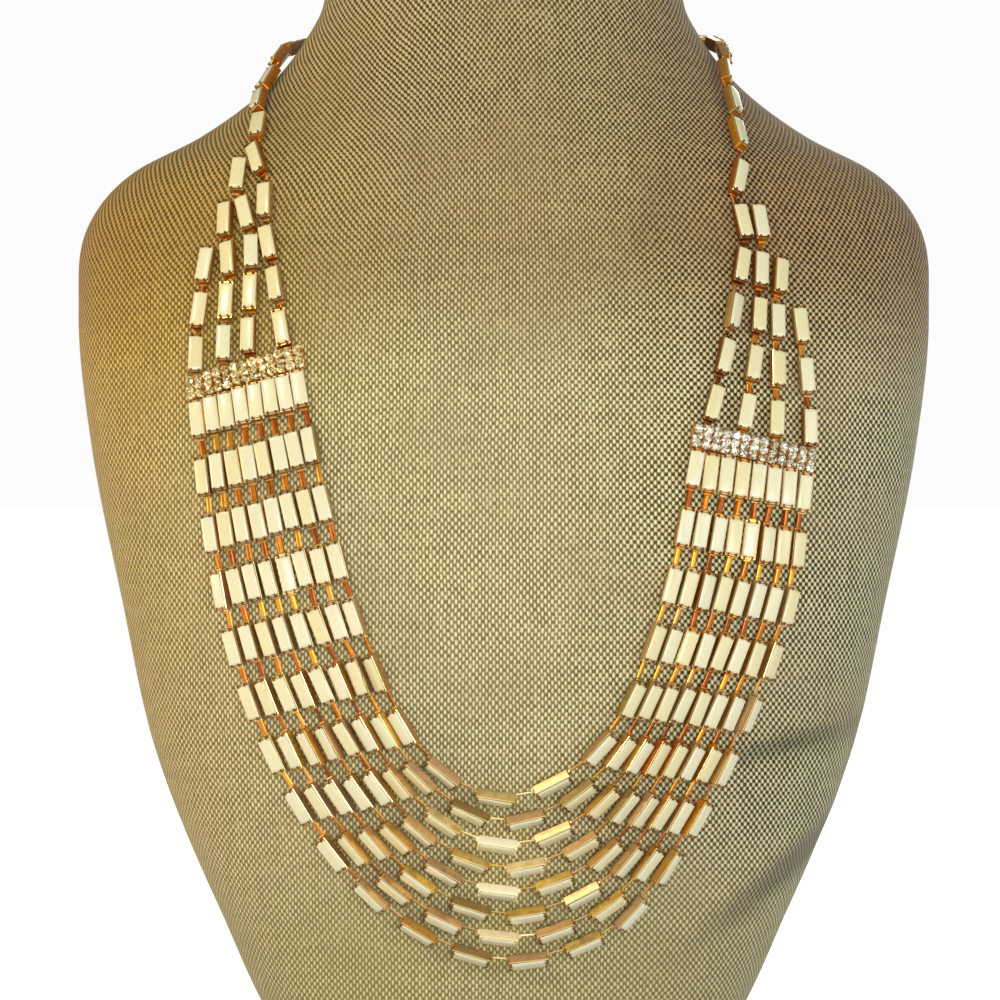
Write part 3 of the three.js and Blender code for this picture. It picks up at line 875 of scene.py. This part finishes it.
# Painted light and shade over the cloth: warm painted shade over the shoulders and the neck, warmer on the
# left shoulder and browner on the right, warm painted light down the left side, and painted shade towards
# the base. Each is a colour that comes in along some axes, from the first height or distance to the
# second, in metres.
paintedClothLight = [
    {"colour": (0.75, 0.65, 0.55), "along": [("Z", 0.19, 0.24)]},
    {"colour": (1.0, 0.9, 0.5), "along": [("Z", 0.16, 0.22), ("X", -0.02, -0.08)]},
    {"colour": (0.85, 0.7, 0.6), "along": [("Z", 0.19, 0.24), ("X", 0.02, 0.08)]},
    {"colour": (0.9, 0.75, 0.45), "along": [("X", -0.06, -0.12)]},
    {"colour": (0.85, 0.85, 0.75), "along": [("Z", 0.07, 0.03)]},
]

# Soft folds in the cloth, in millimetres: middle, the way it runs in degrees above level, its length
# and width, and its height.
folds = [
    {"x": 80, "z": 98, "rise": 11, "length": 54, "width": 3.4, "height": 1.7},
    {"x": 82, "z": 64, "rise": 37, "length": 56, "width": 4.4, "height": 2.2},
    {"x": 38, "z": 247, "rise": 70, "length": 34, "width": 6, "height": 0.5},
]
fold = {"hollow": 0.8, "fullShade": 1.8}     # the hollow beside a fold, and the height that shades it fully


def bustMesh():
    heights = []
    for (low, *rest), (high, *more) in zip(bustRows, bustRows[1:]):
        bands = max(1, round((high - low) / cloth["bandHeight"]))
        heights += [low + (high - low) * n / bands for n in range(bands)]
    heights.append(bustRows[-1][0])
    # the flat ends of the neck and of the base are filled by rings that shrink towards the middle
    angles = np.linspace(-math.pi, math.pi, cloth["sides"] + 1)[:-1]
    rings = [sectionPoints(angles, z) for z in heights]
    neck = rings[-1]
    rings += [neck * (s, s, 1) for s in (0.97, 0.8, 0.5, 0.2)]
    base = rings[0]
    rings = [base * (s, s, 1) for s in (0.2, 0.6, 0.94)] + rings
    points = np.array(rings)

    shade = np.zeros(points.shape[:2])
    for each in folds:
        t, width = math.radians(each["rise"]), each["width"]
        dx, dz = points[..., 0] - each["x"], points[..., 2] - each["z"]
        along = dx * math.cos(t) + dz * math.sin(t)
        across = dz * math.cos(t) - dx * math.sin(t)
        taper = np.exp(-(along / each["length"] * 2) ** 2)
        swell = each["height"] * taper * (
            np.exp(-(across / width) ** 2) - fold["hollow"] * np.exp(-((across + width) / width) ** 2))
        ahead = points[..., 1] < 0
        points[..., 1] -= np.where(ahead, swell, 0)
        shade += np.where(ahead, taper * each["height"] / fold["fullShade"]
                          * np.exp(-((across + width * fold["hollow"]) / width) ** 2), 0)

    count = cloth["sides"]
    closed = np.concatenate([points, points[:, :1]], axis=1)
    # the cloth is pulled straight across the front, so its threads are wider apart round the sides
    steps = np.diff(closed, axis=1)
    steps = np.linalg.norm(steps, axis=2) * cloth["drape"] + np.abs(steps[..., 0]) * (1 - cloth["drape"])
    around = np.concatenate([np.zeros((len(points), 1)), np.cumsum(steps, axis=1)], axis=1)
    u = around - around[:, [count // 2]]
    climbed = np.concatenate([np.zeros((1, count + 1)),
                              np.cumsum(np.linalg.norm(np.diff(closed, axis=0), axis=2), axis=0)])
    # the cross threads run almost level round the bust
    v = climbed * cloth["rise"] + climbed[:, [count // 2]] * (1 - cloth["rise"])

    mesh = bpy.data.meshes.new("neck_bust_linen")
    faces, corners = [], []
    for r in range(len(points) - 1):
        for s in range(count):
            t = (s + 1) % count
            faces.append((r * count + s, r * count + t, (r + 1) * count + t, (r + 1) * count + s))
            corners += [(u[r, s], v[r, s]), (u[r, s + 1], v[r, s + 1]),
                        (u[r + 1, s + 1], v[r + 1, s + 1]), (u[r + 1, s], v[r + 1, s])]
    top = (len(points) - 1) * count
    faces.append(tuple(top + s for s in range(count)))
    faces.append(tuple(reversed(range(count))))
    corners += [(u[-1, s], v[-1, s]) for s in range(count)]
    corners += [(u[0, s], v[0, s]) for s in reversed(range(count))]
    mesh.from_pydata((points.reshape(-1, 3) * mm).tolist(), [], faces)
    layer = mesh.uv_layers.new(name="weave")
    layer.data.foreach_set("uv", np.array(corners, np.float32).ravel())
    crease = mesh.attributes.new("crease", "FLOAT", "POINT")
    crease.data.foreach_set("value", shade.astype(np.float32).ravel())
    mesh.shade_smooth()
    mesh.set_sharp_from_angle(angle=math.radians(50))
    return mesh


# Plain weave: light ovals where an upright thread lies on top, dark pits between them.
def makeLinen():
    material, shop, shader = newMaterial("linen", cloth["light"], Sheen_Weight=0.15, Sheen_Roughness=0.5)
    flat = shop.node("ShaderNodeUVMap", {"uv_map": "weave"}).out()
    split = shop.node("ShaderNodeSeparateXYZ", None, {0: flat})
    place = shop.node("ShaderNodeSeparateXYZ", None, {0: shop.node("ShaderNodeTexCoord").out("Object")})
    wander = shop.node("ShaderNodeTexNoise", None, {"Vector": flat, "Scale": 0.07, "Detail": 2.0})
    drift = shop.node("ShaderNodeSeparateXYZ", None, {0: wander.out("Color")})
    closer = place.out("Z").rise(0.22, 0.28) * cloth["closerAtNeck"] + 1
    warp = split.out("X") * closer / cloth["warpPitch"] + (drift.out("X") - 0.5) * cloth["wander"] * 2
    weft = split.out("Y") / cloth["weftPitch"] + (drift.out("Y") - 0.5) * cloth["wander"] * 2
    crossing = (warp * math.pi).cosine() * (weft * math.pi).cosine()
    ridge = (warp * (2 * math.pi)).cosine()

    warpShade = shop.noise(shop.vector(warp.rounded() * 3.7, weft * 0.06), 1.0, 2.0)
    weftShade = shop.noise(shop.vector(warp * 0.05, weft.rounded() * 5.3, 9.0), 1.0, 2.0)
    spot = shop.noise(shop.vector(warp.rounded() * 2.3, weft.rounded() * 2.9, 4.0), 1.0, 1.0)
    # the weave is opener towards the right shoulder and at the neck, where its pits are also painted darker as
    # painted shade; near the base the pits are painted lighter as painted light
    neck = place.out("Z").rise(0.24, 0.28) * cloth["neckOpennessAndShade"]
    opennessAndPitShade = 1 - (1 - place.out("X").rise(0.0, 0.07)) * (1 - neck)
    paintedPitLight = place.out("Z").between(0.08, 0.04) * cloth["basePaintedPitLight"]
    height = (0.5 + crossing * (cloth["crossings"] + opennessAndPitShade * cloth["openCrossings"])
              + ridge * (cloth["ridges"] - opennessAndPitShade * cloth["openRidges"]))
    # at the left of the neck the threads show as slanting ridges
    slant = place.out("X").between(0.0, -0.04) * place.out("Z").rise(0.2, 0.25)
    height = height + ((warp + weft) * math.pi).cosine() * slant * cloth["slant"]
    height = (height + (spot - 0.5) * cloth["spots"] + (warpShade - 0.5) * cloth["threads"]
              + (weftShade - 0.5) * cloth["threads"])
    colour = shop.mixColour(height.rise(0.3, 0.8), cloth["middle"], cloth["light"])
    pit = 1 - (height - opennessAndPitShade * cloth["paintedPitShade"]).rise(0.08, 0.48)
    pit = pit * (cloth["pits"] + opennessAndPitShade * (1 - cloth["pits"])) * (1 - paintedPitLight)
    colour = shop.mixColour(pit, colour, cloth["dark"])
    mottle = shop.noise(flat, 0.03, 3.0)
    colour = shop.mixColour(mottle.rise(0.4, 0.75) * cloth["mottle"], colour, cloth["mottled"])
    # painted shade in the hollow beside each fold
    crease = shop.node("ShaderNodeAttribute", {"attribute_name": "crease"}).out("Fac")
    colour = shop.mixColour(crease, colour, cloth["creaseShade"], "MULTIPLY")
    # each colour of painted light and shade multiplies the cloth's colour
    for stainAndPaintedLight in paintedClothLight:
        share = 1.0
        for axis, start, end in stainAndPaintedLight["along"]:
            share = place.out(axis).between(start, end) * share
        colour = shop.mixColour(share, colour, stainAndPaintedLight["colour"], "MULTIPLY")
    shop.fill(shader, "Base Color", colour)
    shop.fill(shader, "Roughness", 0.95 - height * 0.1)
    shop.fill(shader, "Normal", shop.bump(height, cloth["bumpStrength"], cloth["bumpHeight"]))
    return material


bust = addObject("neck_bust_linen", bustMesh())
bust.data.materials.append(makeLinen())
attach(bust, "root")
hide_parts("neck_bust")
print("bust")

for pattern in (settingPattern, barPattern, stripPattern, chatonPattern, prongPattern):
    bpy.data.objects.remove(pattern)

bpy.context.view_layer.update()
